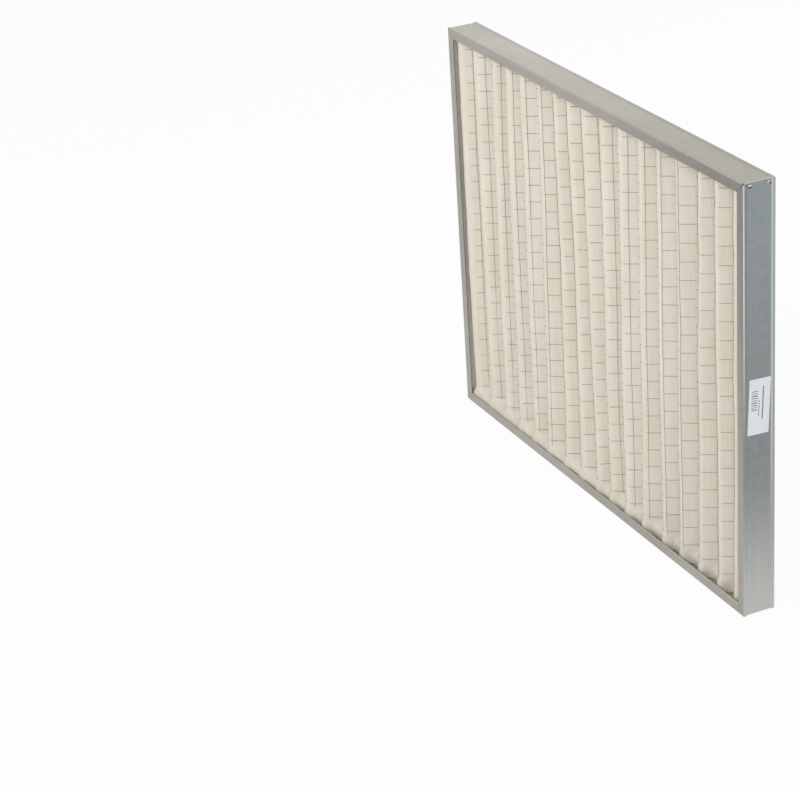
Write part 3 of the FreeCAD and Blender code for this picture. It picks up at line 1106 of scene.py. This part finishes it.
def makeWires():
    steel = makeWireSteel()
    crossNodes = sorted(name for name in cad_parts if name.startswith("cross_wire"))
    for number, node in enumerate(crossNodes):
        low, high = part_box(node)
        points = crossWirePoints((low.z + high.z) / 2, number)
        name = "crossWire%02d" % (number + 1)
        addPiece(name, wireCurve(node, points), steel, "mesh_wire", node)
    foldNodes = sorted(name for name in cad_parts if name.startswith("fold_wires"))
    for pleat, node in enumerate(foldNodes):
        run, places = longWirePlaces(pleat)
        for letter, place in zip("abcd", places):
            points = longWirePoints(pleat, run, place)
            name = "longWire%02d%s" % (pleat + 1, letter)
            addPiece(name, wireCurve(name, points), steel, "mesh_wire", node)


makeWires()
print("Wire mesh laid over the pleats")


# Paper label

label = {
    "length": 0.076,
    "tilt": 2.6,
    "cornerRadius": 0.0015,
    "cornerSteps": 5,
    "thickness": 0.00016,
    "lift": 0.00002,
    # Plain rules along it: share of its width, thickness, and their ends as shares of its length
    "rules": (
        (0.49, 0.0009, 0.32, 0.62),
        (0.67, 0.0017, 0.27, 0.85),
    ),
    # Plain bars across it: their sides and ends as shares, their number and their thicknesses
    "barSides": (0.13, 0.41),
    "barEnds": (0.45, 0.78),
    "bars": 9,
    "barThickness": (0.0015, 0.0009, 0.0012),
    "inkTone": (0.07, 0.07, 0.08),
    "inkShare": 0.85,
    "inkSoft": 0.0001,
    "tones": {
        "Patch Scale": 40.0,
        "Speck Scale": 1200.0,
        "Speck Share": 0.5,
        "Tone A": (0.800, 0.830, 0.865),
        "Tone B": (0.770, 0.800, 0.835),
    },
    "fibres": {"Stretch": (1.0, 1.0, 0.5), "Scale": 2500.0, "Sharpness": 0.5},
    "fibreBump": (0.1, 0.00005),
    "roughness": (0.5, 0.1),
}

labelTilt = math.radians(label["tilt"])
labelSin, labelCos = math.sin(labelTilt), math.cos(labelTilt)
labelWidth = (labelHigh.y - labelLow.y - label["length"] * labelSin) / labelCos
labelMiddle = (labelLow.z + labelHigh.z) / 2


def labelOutline():
    radius, last = label["cornerRadius"], label["cornerSteps"] - 1
    points = []
    for turn, (sideY, sideZ) in enumerate(((1, 1), (-1, 1), (-1, -1), (1, -1))):
        for step in range(label["cornerSteps"]):
            angle = math.radians(90 * (turn + step / last))
            y = sideY * (labelWidth / 2 - radius) + radius * math.cos(angle)
            z = sideZ * (label["length"] / 2 - radius) + radius * math.sin(angle)
            points.append((y * labelCos + z * labelSin, z * labelCos - y * labelSin))
    return points


def makeLabelMesh():
    outline = labelOutline()
    points = [
        (labelLow.x + height, y, labelMiddle + z)
        for height in (label["thickness"], label["lift"])
        for y, z in outline
    ]
    count = len(outline)
    faces = [tuple(range(count)), tuple(range(2 * count - 1, count - 1, -1))]
    faces += [(i, i + count, (i + 1) % count + count, (i + 1) % count) for i in range(count)]
    mesh = bpy.data.meshes.new("paperLabel")
    mesh.from_pydata(points, [], faces)
    mesh.update()
    return mesh


def markEdges():
    # Left, right, low and high edge of each mark, from the middle of the label
    length, marks = label["length"], []
    for share, thickness, low, high in label["rules"]:
        middle = (share - 0.5) * labelWidth
        left, right = middle - thickness / 2, middle + thickness / 2
        marks.append((left, right, (low - 0.5) * length, (high - 0.5) * length))
    left, right = ((share - 0.5) * labelWidth for share in label["barSides"])
    low, high = label["barEnds"]
    for number in range(label["bars"]):
        middle = (low + (high - low) * number / (label["bars"] - 1) - 0.5) * length
        half = label["barThickness"][number % len(label["barThickness"])] / 2
        marks.append((left, right, middle - half, middle + half))
    return marks


def printedMarks(tree, where):
    # 1 on the plain rules and bars of the label and 0 beside them
    place = splitPlace(tree, where)
    height = mathNode(tree, "SUBTRACT", place["Z"], labelMiddle)
    across = mathNode(tree, "MULTIPLY", place["Y"], labelCos)
    across = mathNode(tree, "MULTIPLY_ADD", height, -labelSin, across)
    along = mathNode(tree, "MULTIPLY", place["Y"], labelSin)
    along = mathNode(tree, "MULTIPLY_ADD", height, labelCos, along)
    masks = []
    for left, right, low, high in markEdges():
        sides = between(tree, across, left, right, label["inkSoft"])
        ends = between(tree, along, low, high, label["inkSoft"])
        masks.append(mathNode(tree, "MULTIPLY", sides, ends))
    return joined(tree, "MAXIMUM", masks)


def makePaper():
    material, tree, surface, where = startMaterial("mattPaper")
    tone = placeGroup(tree, toneDrift, where, label["tones"])
    fibres = placeGroup(tree, strands, where, label["fibres"])
    marks = printedMarks(tree, where)
    color = tintBy(tree, tone["Color"], marks, label["inkShare"], label["inkTone"])
    normal = bumpNode(tree, fibres["Height"], *label["fibreBump"])
    finishSurface(tree, surface, color, tone["Mask"], label["roughness"], normal)
    return material


addPiece("paperLabel", makeLabelMesh(), makePaper(), "label", "side_label")
print("Label stuck on")
